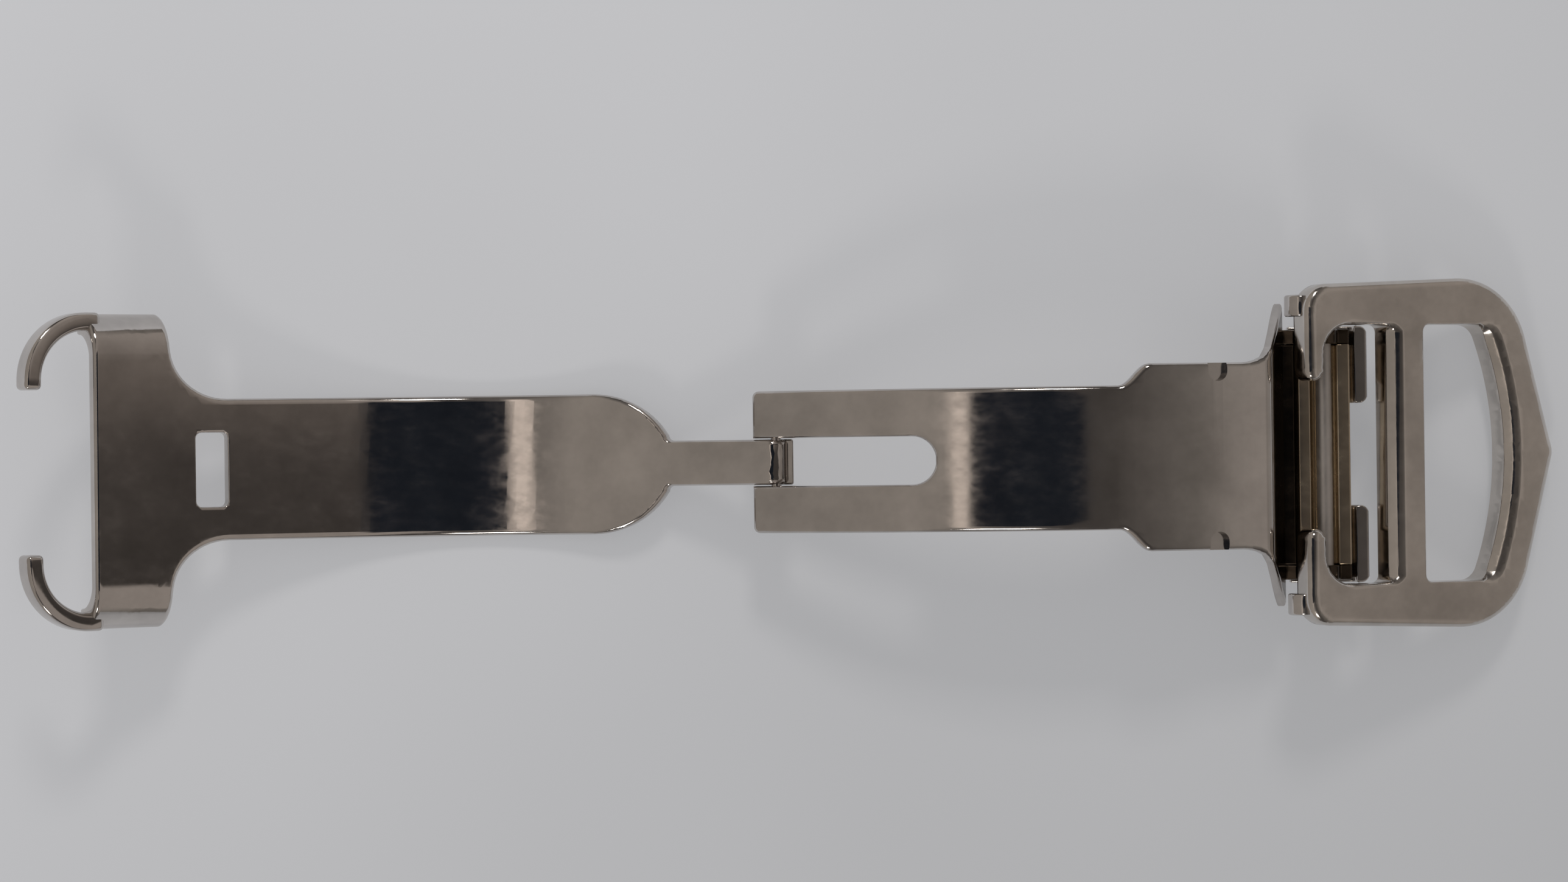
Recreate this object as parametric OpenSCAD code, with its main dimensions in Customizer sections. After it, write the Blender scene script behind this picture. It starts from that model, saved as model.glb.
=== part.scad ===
// Deployant clasp for a leather watch strap, lying fully open.
// X runs along the strap from the strap head to the buckle's point, Y across it, Z up.
// The open clasp stands on Z = 0. Sizes are in millimetres, angles in degrees.

/* [Sheet and curve] */
// Thickness of the steel sheet that both blades are cut from
sheet_t = 0.8; // [0.75:0.05:0.9]
// Radius of the two faces that meet when the clasp is folded
blade_r = 38; // [36:0.5:40]
// Arc from the lowest or highest place of a blade to the middle hinge
blade_arc = 27.5; // [26.5:0.25:28.5]

/* [Cover blade] */
// Width of the cover blade, and of the plain part of the base blade
blade_w = 8.6; // [8.2:0.1:9]
// Width of the tongue that enters the fork
tongue_w = 2.75; // [2.4:0.05:3]
// Length of the tongue from the hinge axis
tongue_l = 6.4; // [6.2:0.1:7]
// Radius of the rounded shoulders between tongue and blade
shoulder_r = 5.3; // [4.8:0.1:5.8]
// Length of the cover blade from its lowest place to the strap head
cover_reach = 19.4; // [18.8:0.1:20]
// Length of the window near the strap head, across the clasp
window_l = 4.5; // [3.5:0.1:5.2]
// Width of the window, along the clasp
window_w = 2.0; // [1.6:0.1:2.4]
// Corner radius of the window
window_r = 0.35; // [0.2:0.05:0.6]
// Distance from the window's edge to the strap head
window_gap = 1.5; // [1.2:0.05:1.8]

/* [Strap head] */
// Clear width inside the strap head, for the strap
strap_w = 16.4; // [16:0.1:17]
// Thickness of the strap head's turned-down sides
side_t = 1.35; // [1.2:0.05:1.5]
// Radius of the turn from the strap head's face into its sides
turn_r = 1.9; // [1.7:0.05:2.1]
// Length of the strap head along the blade
head_l = 5.0; // [4.6:0.1:5.4]
// Radius of the fillet from blade to strap head
neck_r = 3.2; // [2.6:0.1:3.4]
// Depth of the strap head, from its face to the back of the fingers
head_depth = 2.3; // [2.1:0.05:2.6]
// Outer radius of the curved fingers
finger_r = 4.1; // [3.7:0.05:4.4]
// Width of a finger
finger_w = 1.1; // [0.9:0.05:1.3]
// Straight end of a finger after its curve
finger_tip = 0.55; // [0.3:0.05:0.9]
// Length of a finger's root inside the strap head's side
finger_root = 0.9; // [0.7:0.05:1.1]
// Radius of the fingers' rounded edges
finger_round = 0.3; // [0.2:0.05:0.4]

/* [Strap posts] */
// Radius of the post on the strap head's outer face
post_r = 0.75; // [0.6:0.05:0.9]
// Length of that post
post_l = 2.2; // [1.8:0.1:2.6]
// Radius of the stud on the back of the buckle's bar
stud_r = 0.6; // [0.5:0.05:0.7]
// Length of that stud
stud_l = 0.85; // [0.7:0.05:0.9]

/* [Middle hinge] */
// Radius of the middle hinge pin
pin_r = 0.32; // [0.28:0.01:0.34]
// Depth of the hinge axis below the folding faces
axis_depth = 0.65; // [0.6:0.01:0.68]
// Radius of the knuckle on the tongue
knuckle_r = 1.05; // [1:0.05:1.15]
// Radius of the tongue's rounded nose over the knuckle
nose_r = 1.0; // [1:0.02:1.06]
// Distance from the hinge axis back to the middle of the nose, along the tongue
nose_back = 0.42; // [0.36:0.02:0.44]
// Depth of the knuckle's lip below the hinge axis
lip_down = 0.3; // [0.2:0.05:0.4]
// Radius of the barrel under the fork's ends
barrel_r = 0.95; // [0.9:0.05:1]
// Length of the fork's ends beyond the hinge axis
fork_nose = 1.5; // [1.3:0.05:1.7]
// Corner radius of the fork's ends
fork_r = 0.35; // [0.2:0.05:0.5]
// Length of the slot in the base blade from the hinge axis
slot_l = 9.5; // [9:0.1:10]

/* [Base blade] */
// Width of the base blade beside the buckle
wide_w = 11.2; // [10.8:0.1:11.6]
// Distance from the top of the curve to the widened part
widen_x = 3.2; // [2.8:0.1:3.6]
// Length over which the blade widens
widen_l = 1.9; // [1.6:0.1:2.2]
// Distance from the top of the curve to the nail nicks
nick_x = 9.3; // [9:0.1:9.6]
// Radius of a nail nick
nick_r = 0.6; // [0.5:0.02:0.7]
// Reach of a nail nick from the edge into the face
nick_depth = 1.1; // [0.9:0.05:1.2]
// Depth of a nail nick below the face
nick_sink = 0.55; // [0.4:0.05:0.65]
// Arc from the top of the curve to the bend
bend_arc = 18.7; // [18:0.1:19.2]
// Steepness of the wall below the bend
wall_slope = 73; // [72:0.5:75]
// Length of the wall below the bend
wall_l = 3.5; // [3.4:0.05:3.55]
// Thickness of the wall
wall_t = 0.6; // [0.5:0.05:0.7]
// Distance of the wall's top corners in from the buckle frame's side
wall_in = 4.2; // [4.1:0.05:4.3]
// Radius of the flare on each side of the wall
flare_r = 3.6; // [3.6:0.05:3.8]

/* [Buckle hinge] */
// Distance from the bend to the buckle hinge's axis, along the clasp
axis_out = 4.05; // [4:0.05:4.25]
// Depth of the buckle hinge's axis below the bend's inner corner
axis_down = 2.0; // [1.95:0.05:2.1]
// Radius of the buckle hinge pin
long_pin_r = 0.48; // [0.44:0.01:0.5]
// Radius of the channel's cheeks round the pin
cheek_r = 0.86; // [0.8:0.02:0.88]
// Width of the channel that carries the pin
channel_w = 15.2; // [15:0.1:15.3]
// Thickness of the channel's end cheeks
cheek_t = 0.9; // [0.8:0.05:1.1]
// Reach of the channel's block beyond the pin's axis
channel_out = 1.6; // [1.5:0.05:1.65]
// Depth of the channel's block below the pin's axis
channel_depth = 1.35; // [1.25:0.05:1.4]
// Radius of the groove that the pin lies in
groove_r = 0.8; // [0.7:0.02:0.84]
// Distance of the pin's ends in from the buckle frame's sides
long_pin_in = 1.25; // [1.15:0.05:1.35]

/* [Buckle frame] */
// Length of the buckle frame to its point
buckle_l = 17.4; // [17:0.1:17.8]
// Width of the buckle frame, at its shoulders
buckle_w = 21.2; // [20.9:0.1:21.5]
// How much each side of the frame comes in from its shoulder to its arm
side_taper = 0.35; // [0.3:0.05:0.4]
// Thickness of the buckle frame
buckle_t = 1.9; // [1.7:0.05:2.1]
// Clear width of the buckle frame's windows
buckle_clear_w = 15.6; // [15.5:0.05:15.9]
// Width of the two arms that close the frame beside the neck
arm_w = 1.27; // [1.15:0.05:1.4]
// Clearance on each side between the arms and the cover blade
arm_gap = 0.12; // [0.08:0.02:0.2]
// Distance from the frame's end to the centre bar
bar_x = 5.8; // [5.6:0.1:6]
// Width of the centre bar
bar_w = 2.3; // [2.1:0.1:2.4]
// Width of the pointed end, along the clasp
point_w = 3.3; // [3:0.1:3.5]
// Rise of the point over the frame's rounded shoulders
point_rise = 1.7; // [1.5:0.1:1.9]
// Radius of the curved side of the right window
far_side_r = 19.3; // [18.5:0.1:20]
// Radius of the rounded outer edges
edge_r = 0.6; // [0.45:0.05:0.7]
// Width of the bevel along the windows
bevel = 0.35; // [0.25:0.05:0.45]
// Distance from the frame's end to the hinge axis
ear_x = 2.8; // [2.7:0.05:2.9]
// Depth of the hinge axis below the frame's back
ear_drop = 1.02; // [1:0.02:1.1]
// Radius of the hinge ears
ear_r = 1.3; // [1.2:0.05:1.4]
// Thickness of the hinge ears
ear_t = 1.3; // [1.2:0.05:1.4]
// Distance of the hinge ears in from the frame's side
ear_in = 1; // [0.9:0.05:1.1]

/* [Tail bracket] */
// Thickness of the bracket's sheet
bracket_t = 0.7; // [0.6:0.05:0.8]
// Width over both tabs
tabs_w = 15.6; // [15.2:0.1:15.8]
// Width of one tab
tab_w = 4.7; // [4.3:0.1:5]
// Outer radius of the tabs' curl
curl_r = 1.15; // [1.05:0.05:1.25]
// Corner radius of the tabs
tab_r = 0.5; // [0.3:0.05:0.7]

/* [Clearances] */
// Radial clearance of both pins in their bores
pin_gap = 0.02; // [0.01:0.01:0.05]
// Side clearance between tongue and fork
side_gap = 0.07; // [0.05:0.01:0.12]

/* [Hidden] */
$fn = 96;

steel = "#8d8781";
dark_steel = "#6f6a64";

// A cut runs this far past the faces that it goes through
past = 1;

// Point at radius r and angle a from straight up, in the side view as [x, z]
function polar(a, r) = [r * sin(a), r * cos(a)];
// Angle that a length takes up on the folding faces
function arc_of(l) = l / blade_r * 180 / PI;

// Middle hinge, and the centres of the two curves that pass through it
hinge = [-0.5, sheet_t + blade_r * (1 - cos(blade_arc)) - axis_depth * cos(blade_arc)];
face = hinge + polar(-blade_arc, axis_depth);
cover_c = face + polar(-blade_arc, blade_r);
nose_c = hinge - nose_back * [cos(blade_arc), sin(blade_arc)] + polar(-blade_arc, axis_depth - nose_r);
base_c = face - polar(-blade_arc, blade_r);

// Cover blade: angles are counted from its lowest place, to the right
head_right = -arc_of(cover_reach);
head_left = head_right - arc_of(head_l);
head_right_x = cover_c[0] + blade_r * sin(head_right);
head_w = strap_w + 2 * side_t;
tongue_x = hinge[0] - tongue_l;
shoulder_fillet = 0.35;
shoulder_a = acos(1 - (blade_w / 2 - tongue_w / 2 - shoulder_fillet) / shoulder_r);
shoulder_x = tongue_x - shoulder_fillet;
window_a = head_right + arc_of(window_gap + window_w / 2);

// Base blade: angles are counted from the top of its curve, to the right
bend = base_c + polar(bend_arc, blade_r - sheet_t);
bend_x = base_c[0] + blade_r * sin(bend_arc);
slot_r = tongue_w / 2 + side_gap;
wall_top_w = buckle_w - 2 * wall_in;
wall_foot_w = wall_top_w + 2 * flare_r - 2 * sqrt(flare_r * flare_r - wall_l * wall_l);
bend_fillet = 1.0;

// Buckle hinge, and the angle at which the buckle's point meets the table
pin2 = bend + [axis_out, -axis_down];
lever = [buckle_l - ear_x - edge_r, ear_drop + edge_r];
buckle_tilt = acos(-(pin2[1] - edge_r) / norm(lever)) - atan2(lever[0], lever[1]);
arms_gap = blade_w + 2 * arm_gap;
corner_r = 1.6;
slant_r = 4.8;
point_r = 1.2;
// Corner radii of the windows: beside the arms, beside the bar, beside the slanted sides
arm_corner_r = 1.8;
bar_corner_r = 0.45;
slant_corner_r = 1.2;
// Thickness of the layers that the frame's rounded body and its bevels are formed from
layer = 0.01;
// Softening of the right window's edge beside the bar
ease = 0.05;

// Tail bracket, under the channel; its tabs curl up just beyond the channel's face
bracket_x = pin2[0] - 2;
curl_x = pin2[0] + channel_out;
tab_lip = 0.3;

// Origin: the middle of the clasp's length, on the table
left_x = cover_c[0] + (blade_r + head_depth - finger_round) * sin(head_left)
  - (finger_r - finger_round) * cos(head_left) - finger_round;
right_x = pin2[0] + lever[0] * cos(buckle_tilt)
  + (ear_drop + buckle_t - edge_r) * sin(buckle_tilt) + edge_r;
mid_x = (left_x + right_x) / 2;

module to_origin() {
  translate([-mid_x, 0, 0])
    children();
}

// Extrudes a side view, drawn in X and Z, over a width across the clasp
module across(w) {
  rotate([90, 0, 0])
    linear_extrude(w, center = true)
      children();
}

// Extrudes a plan view through everything
module through() {
  translate([0, 0, -past])
    linear_extrude(30)
      children();
}

// Stands its children on the cover blade's face at an angle, Z towards the curve's centre
module on_cover(a) {
  translate([cover_c[0], 0, cover_c[1]])
    rotate([0, -a, 0])
      translate([0, 0, -blade_r])
        children();
}

// Sweeps a section, drawn as depth below the face and place across, along the cover's curve
module cover_sweep(a0, a1) {
  translate([cover_c[0], 0, cover_c[1]])
    rotate([90, 0, 0])
      rotate([0, 0, a0 - 90])
        rotate_extrude(angle = a1 - a0, $fn = 360)
          translate([blade_r, 0])
            children();
}

// Side view of a piece of sheet between two angles; rise is 1 for the base, -1 for the cover
module sheet_side(centre, r_in, a0, a1, rise) {
  far = 3 * blade_r;
  translate(centre)
    intersection() {
      difference() {
        circle(r_in + sheet_t, $fn = 360);
        circle(r_in, $fn = 360);
      }
      polygon([
        [0, 0],
        [far * sin(a0), rise * far * cos(a0)],
        [far * sin(a1), rise * far * cos(a1)]
      ]);
    }
}

// Points of a smooth step from y0 to y1
function step_points(x0, x1, y0, y1, n = 8) = [
  for (i = [0 : n])
    [x0 + (x1 - x0) * i / n, y0 + (y1 - y0) * (1 - cos(180 * i / n)) / 2]
];

// Points of an arc from angle a0 to a1
function arc_points(c, r, a0, a1, n = 10) = [
  for (i = [0 : n])
    c + r * [cos(a0 + (a1 - a0) * i / n), sin(a0 + (a1 - a0) * i / n)]
];

// Mirrors a list of points across the clasp and closes the outline
function both_sides(p) = concat(p, [for (i = [len(p) - 1 : -1 : 0]) [p[i][0], -p[i][1]]]);

module soft_square(size, r) {
  square([size[0] - 2 * r, size[1]], center = true);
  square([size[0], size[1] - 2 * r], center = true);
  for (x = [-1, 1])
    for (y = [-1, 1])
      translate([x * (size[0] / 2 - r), y * (size[1] / 2 - r)])
        circle(r, $fn = 32);
}

// Plan of the cover blade: tongue, shoulders, neck and fillets to the strap head
module cover_plan() {
  half = blade_w / 2;
  polygon(both_sides(concat(
    [[hinge[0] + knuckle_r + past, tongue_w / 2]],
    arc_points([tongue_x, tongue_w / 2 + shoulder_fillet], shoulder_fillet, 270, 180 + 30, 5),
    arc_points(
      [shoulder_x - shoulder_r * sin(shoulder_a), half - shoulder_r],
      shoulder_r, 90 - shoulder_a, 90
    ),
    arc_points([head_right_x + neck_r, half + neck_r], neck_r, 270, 180, 12),
    [[head_right_x, head_w / 2 - turn_r], [left_x, head_w / 2 - turn_r]]
  )));
}

// Section of one turned-down side of the strap head, lapped into the plate
module head_side_section() {
  half = head_w / 2;
  turn_y = half - turn_r;
  lap = sheet_t / 4;
  polygon(concat(
    [[sheet_t - lap, turn_y - lap], [lap, turn_y - lap], [lap, turn_y], [0, turn_y]],
    [for (a = [10 : 10 : 80]) [turn_r * (1 - cos(a)), turn_y + turn_r * sin(a)]],
    [[turn_r, half], [head_depth, half], [head_depth, half - side_t]],
    [[sheet_t, half - side_t], [sheet_t, turn_y], [sheet_t - lap, turn_y]]
  ));
}

// Section of a finger, with rounded corners
module finger_section() {
  x = finger_w / 2 - finger_round;
  y = (head_depth - sheet_t) / 2 - finger_round;
  polygon([
    for (corner = [[1, 1, 0], [-1, 1, 90], [-1, -1, 180], [1, -1, 270]])
      each arc_points([corner[0] * x, corner[1] * y], finger_round, corner[2], corner[2] + 90, 4)
  ]);
}

// One curved finger, from the strap head's side round towards the middle
module finger() {
  mid_r = finger_r - finger_w / 2;
  mid_z = -(head_depth + sheet_t) / 2;
  translate([0, head_w / 2 - finger_r, mid_z]) {
    rotate([0, 0, 90])
      rotate_extrude(angle = 90)
        translate([mid_r, 0])
          finger_section();
    translate([finger_root, mid_r, 0])
      rotate([0, -90, 0])
        rotate([0, 0, 90])
          linear_extrude(finger_root)
            finger_section();
    translate([-mid_r, 0, 0])
      rotate([90, 0, 0])
        linear_extrude(finger_tip)
          finger_section();
  }
}

// Side view of the knuckle: the tongue's round nose, and the lip that is left in front of it
module knuckle_side() {
  intersection() {
    translate(hinge)
      circle(knuckle_r);
    union() {
      translate(nose_c)
        circle(nose_r);
      translate(hinge)
        rotate(blade_arc)
          translate([-2 * knuckle_r, -2 * knuckle_r])
            square([4 * knuckle_r, 2 * knuckle_r - lip_down]);
    }
  }
}

module cover_blade() {
  color(steel)
    to_origin() {
      difference() {
        intersection() {
          across(head_w + 2 * past) {
            sheet_side(cover_c, blade_r, head_left, blade_arc - arc_of(nose_back), -1);
            knuckle_side();
          }
          through()
            cover_plan();
        }
        on_cover(window_a)
          translate([0, 0, -sheet_t - past])
            linear_extrude(sheet_t + 2 * past)
              soft_square([window_w, window_l], window_r);
        across(blade_w)
          translate(hinge)
            circle(pin_r + pin_gap);
      }
      for (side = [0, 1])
        mirror([0, side, 0])
          cover_sweep(head_left, head_right)
            head_side_section();
      on_cover(head_left)
        for (side = [0, 1])
          mirror([0, side, 0])
            finger();
    }
}

module cover_strap_post() {
  color(dark_steel)
    to_origin()
      on_cover((head_left + head_right) / 2)
        translate([0, 0, -sheet_t])
          mirror([0, 0, 1])
            cylinder(r = post_r, h = post_l);
}

module centre_hinge_pin() {
  color(dark_steel)
    to_origin()
      across(blade_w)
        translate(hinge)
          circle(pin_r);
}

// Plan of the base blade: fork, plain part, widened part, and the start of the flare
module base_plan() {
  half = blade_w / 2;
  nose_x = hinge[0] - fork_nose;
  widen = base_c[0] + widen_x;
  difference() {
    polygon(both_sides(concat(
      [[nose_x, half - fork_r]],
      arc_points([nose_x + fork_r, half - fork_r], fork_r, 180, 90, 5),
      step_points(widen, widen + widen_l, half, wide_w / 2),
      step_points(bend_x - bend_fillet, bend_x, wide_w / 2, wall_top_w / 2, 5),
      [[bend_x + past, wall_top_w / 2]]
    )));
    translate([nose_x - past, -slot_r])
      square([fork_nose + past + slot_l - slot_r, 2 * slot_r]);
    translate([hinge[0] + slot_l - slot_r, 0])
      circle(slot_r);
  }
}

// Room of one nail nick, sunk into the face and open at the blade's edge
module nail_nick() {
  translate([base_c[0], 0, base_c[1]])
    rotate([0, arc_of(nick_x), 0])
      translate([0, wide_w / 2 - nick_depth + nick_r, blade_r - nick_sink]) {
        cylinder(r = nick_r, h = past + nick_sink, $fn = 48);
        translate([-nick_r, 0, 0])
          cube([2 * nick_r, nick_depth + past, past + nick_sink]);
      }
}

// Wall below the bend, drawn flat: X runs down the wall
module wall_plan() {
  centre_y = wall_top_w / 2 + flare_r;
  difference() {
    translate([0, -centre_y])
      square([wall_l, 2 * centre_y]);
    for (side = [-1, 1])
      translate([0, side * centre_y])
        circle(flare_r);
    for (side = [-1, 1])
      translate([-past, side > 0 ? wall_foot_w / 2 : -centre_y - past])
        square([wall_l + 2 * past, centre_y + past - wall_foot_w / 2]);
  }
}

module base_blade() {
  nose_a = asin((hinge[0] - fork_nose - past - base_c[0]) / blade_r);
  channel_z = pin2[1] - channel_depth;
  lap = 20;
  wall_foot_x = bend[0] + wall_l * cos(wall_slope) + (sheet_t - wall_t / 2) * sin(wall_slope);
  color(steel)
    to_origin() {
      difference() {
        intersection() {
          across(wide_w + 4 * past) {
            sheet_side(base_c, blade_r - sheet_t, nose_a, bend_arc, 1);
            intersection() {
              translate(hinge)
                circle(barrel_r);
              translate(base_c)
                circle(blade_r - sheet_t / 2, $fn = 360);
            }
          }
          through()
            base_plan();
        }
        across(blade_w + 2 * past)
          translate(hinge)
            circle(pin_r + pin_gap);
        for (side = [0, 1])
          mirror([0, side, 0])
            nail_nick();
      }
      across(wall_top_w)
        translate(bend)
          intersection() {
            circle(sheet_t);
            polygon([
              [0, 0],
              polar(bend_arc - lap, 2 * sheet_t),
              polar((bend_arc + wall_slope) / 2, 4 * sheet_t),
              polar(wall_slope + lap, 2 * sheet_t)
            ]);
          }
      translate([bend[0], 0, bend[1]])
        rotate([0, wall_slope, 0])
          translate([0, 0, sheet_t - wall_t])
            linear_extrude(wall_t)
              wall_plan();
      difference() {
        union() {
          across(channel_w)
            translate([wall_foot_x, channel_z])
              square([pin2[0] + channel_out - wall_foot_x, channel_depth]);
          across(channel_w)
            translate(pin2)
              circle(cheek_r);
        }
        across(channel_w - 2 * cheek_t)
          translate(pin2) {
            circle(groove_r);
            translate([-cheek_r, 0])
              square([2 * cheek_r, 2 * cheek_r]);
          }
        across(channel_w + 2 * past)
          translate(pin2)
            circle(long_pin_r + pin_gap);
      }
    }
}

module buckle_hinge_pin() {
  color(dark_steel)
    to_origin()
      across(buckle_w - 2 * long_pin_in)
        translate(pin2)
          circle(long_pin_r);
}

// Places the buckle frame: X along it from its hinged end, Z = 0 on its back
module on_buckle() {
  to_origin()
    translate([pin2[0], 0, pin2[1]])
      rotate([0, buckle_tilt, 0])
        translate([-ear_x, 0, ear_drop])
          children();
}

// One thin layer of the frame's outline, drawn in by an inset
module outline_layer(z, inset) {
  translate([0, 0, z]) {
    for (side = [-1, 1]) {
      translate([corner_r, side * (buckle_w / 2 - side_taper - corner_r), 0])
        cylinder(r = corner_r - inset, h = layer, $fn = 32);
      translate([buckle_l - point_rise - slant_r, side * (buckle_w / 2 - slant_r), 0])
        cylinder(r = slant_r - inset, h = layer, $fn = 64);
    }
    translate([buckle_l - point_r, 0, 0])
      cylinder(r = point_r - inset, h = layer, $fn = 32);
  }
}

// Solid body of the frame with rounded outer edges
module buckle_body() {
  steps = 3;
  hull()
    for (i = [0 : steps]) {
      a = 90 * i / steps;
      inset = edge_r * (1 - sin(a));
      rise = edge_r * (1 - cos(a));
      outline_layer(rise, inset);
      outline_layer(buckle_t - rise - layer, inset);
    }
}

// Corner circles of a window, as a hull with an optional spread at its upper face
module left_window_layer(spread) {
  half = buckle_clear_w / 2;
  for (side = [-1, 1]) {
    translate([arm_w + arm_corner_r, side * (half - arm_corner_r), 0])
      cylinder(r = arm_corner_r + spread, h = layer, $fn = 32);
    translate([bar_x - bar_corner_r, side * (half - bar_corner_r), 0])
      cylinder(r = bar_corner_r + spread, h = layer, $fn = 32);
  }
}

// Plan of the right window: its far side curves, its corners beside the bar stay tight.
// It is drawn out by one amount along the far side and by another beside the bar
module right_window_plan(far_out, bar_out) {
  half = buckle_clear_w / 2;
  curve_c = buckle_l - point_w - far_side_r;
  inner_r = far_side_r - slant_corner_r;
  half_turn = asin((half - slant_corner_r) / inner_r);
  steps = 8;
  polygon(both_sides(concat(
    arc_points([curve_c, 0], far_side_r + far_out, half_turn / steps, half_turn, steps - 1),
    arc_points(
      [curve_c + inner_r * cos(half_turn), half - slant_corner_r],
      slant_corner_r + far_out, half_turn, 90, 6
    ),
    arc_points(
      [bar_x + bar_w + bar_corner_r, half - bar_corner_r],
      bar_corner_r + bar_out, 90, 180, 6
    )
  )));
}

// Gap between the arms, whose ends are round
module neck_gap() {
  half = arms_gap / 2;
  difference() {
    translate([-past, -half - arm_w / 2])
      square([past + arm_w, 2 * half + arm_w]);
    for (side = [-1, 1])
      translate([arm_w / 2, side * (half + arm_w / 2)])
        circle(arm_w / 2, $fn = 32);
  }
}

// Side view of a hinge ear, with the rounded heel that shows beside the frame's corner
module ear_side() {
  heel = [0.4, 0.4];
  heel_r = 0.95;
  circle_c = [ear_x, -ear_drop];
  translate(circle_c)
    circle(ear_r);
  translate(heel)
    circle(heel_r, $fn = 48);
  polygon([
    heel + heel_r * [-0.6, -0.8],
    circle_c + ear_r * [-0.6, -0.8],
    circle_c + ear_r * [0.95, 0.3],
    circle_c + ear_r * [0.95, 0.3] + [0, 1],
    [heel[0], heel[1] + heel_r]
  ]);
}

module buckle_frame() {
  ear_y = buckle_w / 2 - ear_t - ear_in;
  color(steel)
    on_buckle()
      difference() {
        union() {
          buckle_body();
          for (side = [-1, 1])
            translate([0, side * (ear_y + ear_t / 2), 0])
              across(ear_t)
                ear_side();
        }
        hull() {
          translate([0, 0, -past])
            left_window_layer(0);
          translate([0, 0, buckle_t + past])
            left_window_layer(0);
        }
        hull() {
          translate([0, 0, buckle_t - bevel])
            left_window_layer(0);
          translate([0, 0, buckle_t])
            left_window_layer(bevel);
        }
        translate([0, 0, -past])
          linear_extrude(buckle_t + 2 * past)
            right_window_plan(0, 0);
        hull() {
          translate([0, 0, buckle_t - bevel - ease])
            linear_extrude(layer)
              right_window_plan(-ease, -ease);
          translate([0, 0, buckle_t])
            linear_extrude(layer)
              right_window_plan(bevel, ease);
        }
        translate([0, 0, -past])
          linear_extrude(buckle_t + 2 * past)
            neck_gap();
        across(buckle_w)
          translate([ear_x, -ear_drop])
            circle(long_pin_r + pin_gap);
      }
}

module buckle_strap_stud() {
  color(dark_steel)
    on_buckle()
      translate([bar_x + bar_w / 2, 0, -stud_l])
        cylinder(r = stud_r, h = stud_l);
}

// Plan of the bracket: a plate with two tabs that reach out beyond the channel
module bracket_plan() {
  edge_x = pin2[0] + channel_out;
  out_x = curl_x + curl_r;
  translate([bracket_x, -tabs_w / 2])
    square([edge_x - bracket_x, tabs_w]);
  for (side = [-1, 1])
    translate([(edge_x - past + out_x) / 2, side * (tabs_w - tab_w) / 2])
      soft_square([out_x - edge_x + past, tab_w], tab_r);
}

module tail_bracket() {
  top = pin2[1] - channel_depth;
  color(steel)
    to_origin()
      intersection() {
        across(tabs_w)
          union() {
            translate([bracket_x, top - bracket_t])
              square([curl_x - bracket_x, bracket_t]);
            translate([curl_x, top - bracket_t + curl_r])
              intersection() {
                difference() {
                  circle(curl_r);
                  circle(curl_r - bracket_t);
                }
                translate([0, -curl_r])
                  square([curl_r, curl_r + tab_lip]);
              }
          }
        through()
          bracket_plan();
      }
}

cover_blade();
cover_strap_post();
centre_hinge_pin();
base_blade();
buckle_frame();
buckle_hinge_pin();
buckle_strap_stud();
tail_bracket();
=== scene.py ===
"""Deployant clasp for a leather watch strap, lying open on a pale table."""
import math

import bpy
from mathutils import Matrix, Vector


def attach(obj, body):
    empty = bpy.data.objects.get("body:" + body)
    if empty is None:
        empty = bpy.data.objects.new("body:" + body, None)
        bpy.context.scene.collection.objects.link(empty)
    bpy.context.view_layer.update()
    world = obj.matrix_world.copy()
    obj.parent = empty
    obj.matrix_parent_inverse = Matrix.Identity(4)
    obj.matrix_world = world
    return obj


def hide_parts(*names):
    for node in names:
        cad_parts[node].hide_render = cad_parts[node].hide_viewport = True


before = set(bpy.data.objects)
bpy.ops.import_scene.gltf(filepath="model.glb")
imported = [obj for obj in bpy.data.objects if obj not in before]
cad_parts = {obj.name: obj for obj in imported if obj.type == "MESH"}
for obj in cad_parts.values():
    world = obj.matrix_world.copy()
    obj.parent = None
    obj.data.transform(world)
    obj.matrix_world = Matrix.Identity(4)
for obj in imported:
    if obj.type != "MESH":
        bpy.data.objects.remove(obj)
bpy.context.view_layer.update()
MM = 0.001


# Table: a pale, matt top with slow, faint changes of tone. It glows a little in
# its own colour, to stay as pale as the real one, and takes the soft shadow.

TABLE_SIDE = 3.0  # metres, well past the view's edges
CLOUDS = 22  # per metre: clouds of tone about 45 mm across
CLOUD_SHARE = 0.35
TONE_SLOPE = (3.2, -5.2, 0)  # per metre: darker to the right and to the front
TONE_START = 0.32
TABLE_GLOW = 0.46


def srgb(code):
    """A colour written as sRGB hex, as linear RGBA."""
    parts = [int(code[i:i + 2], 16) / 255 for i in (1, 3, 5)]
    return [c / 12.92 if c <= 0.04045 else ((c + 0.055) / 1.055) ** 2.4
            for c in parts] + [1.0]


def add(tree, kind, settings=(), **links):
    """A shader node with its settings; links go to inputs by their name.

    A number, or in0 for a link, stands for the input of that place: 6 and 7 are
    the two colours of a Mix. The setting stops is a ramp's places and colours.
    """
    node = tree.nodes.new(kind)
    for key, value in dict(settings).items():
        if key == "stops":
            points = node.color_ramp.elements
            for place, code in value[2:]:
                points.new(place)
            for point, (place, code) in zip(points, value):
                point.position = place
                point.color = srgb(code)
        elif isinstance(key, int) or key in node.inputs.keys():
            node.inputs[key].default_value = value
        else:
            setattr(node, key, value)
    for key, source in links.items():
        name = key.replace("_", " ")
        tree.links.new(source, node.inputs[int(name[2:]) if name[:2] == "in" else name])
    return node


def new_material(name, colour, roughness, metallic):
    material = bpy.data.materials.new(name)
    material.use_nodes = True
    tree = material.node_tree
    shader = tree.nodes["Principled BSDF"]
    shader.inputs["Base Color"].default_value = srgb(colour)
    shader.inputs["Roughness"].default_value = roughness
    shader.inputs["Metallic"].default_value = metallic
    return material, tree, shader


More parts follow.
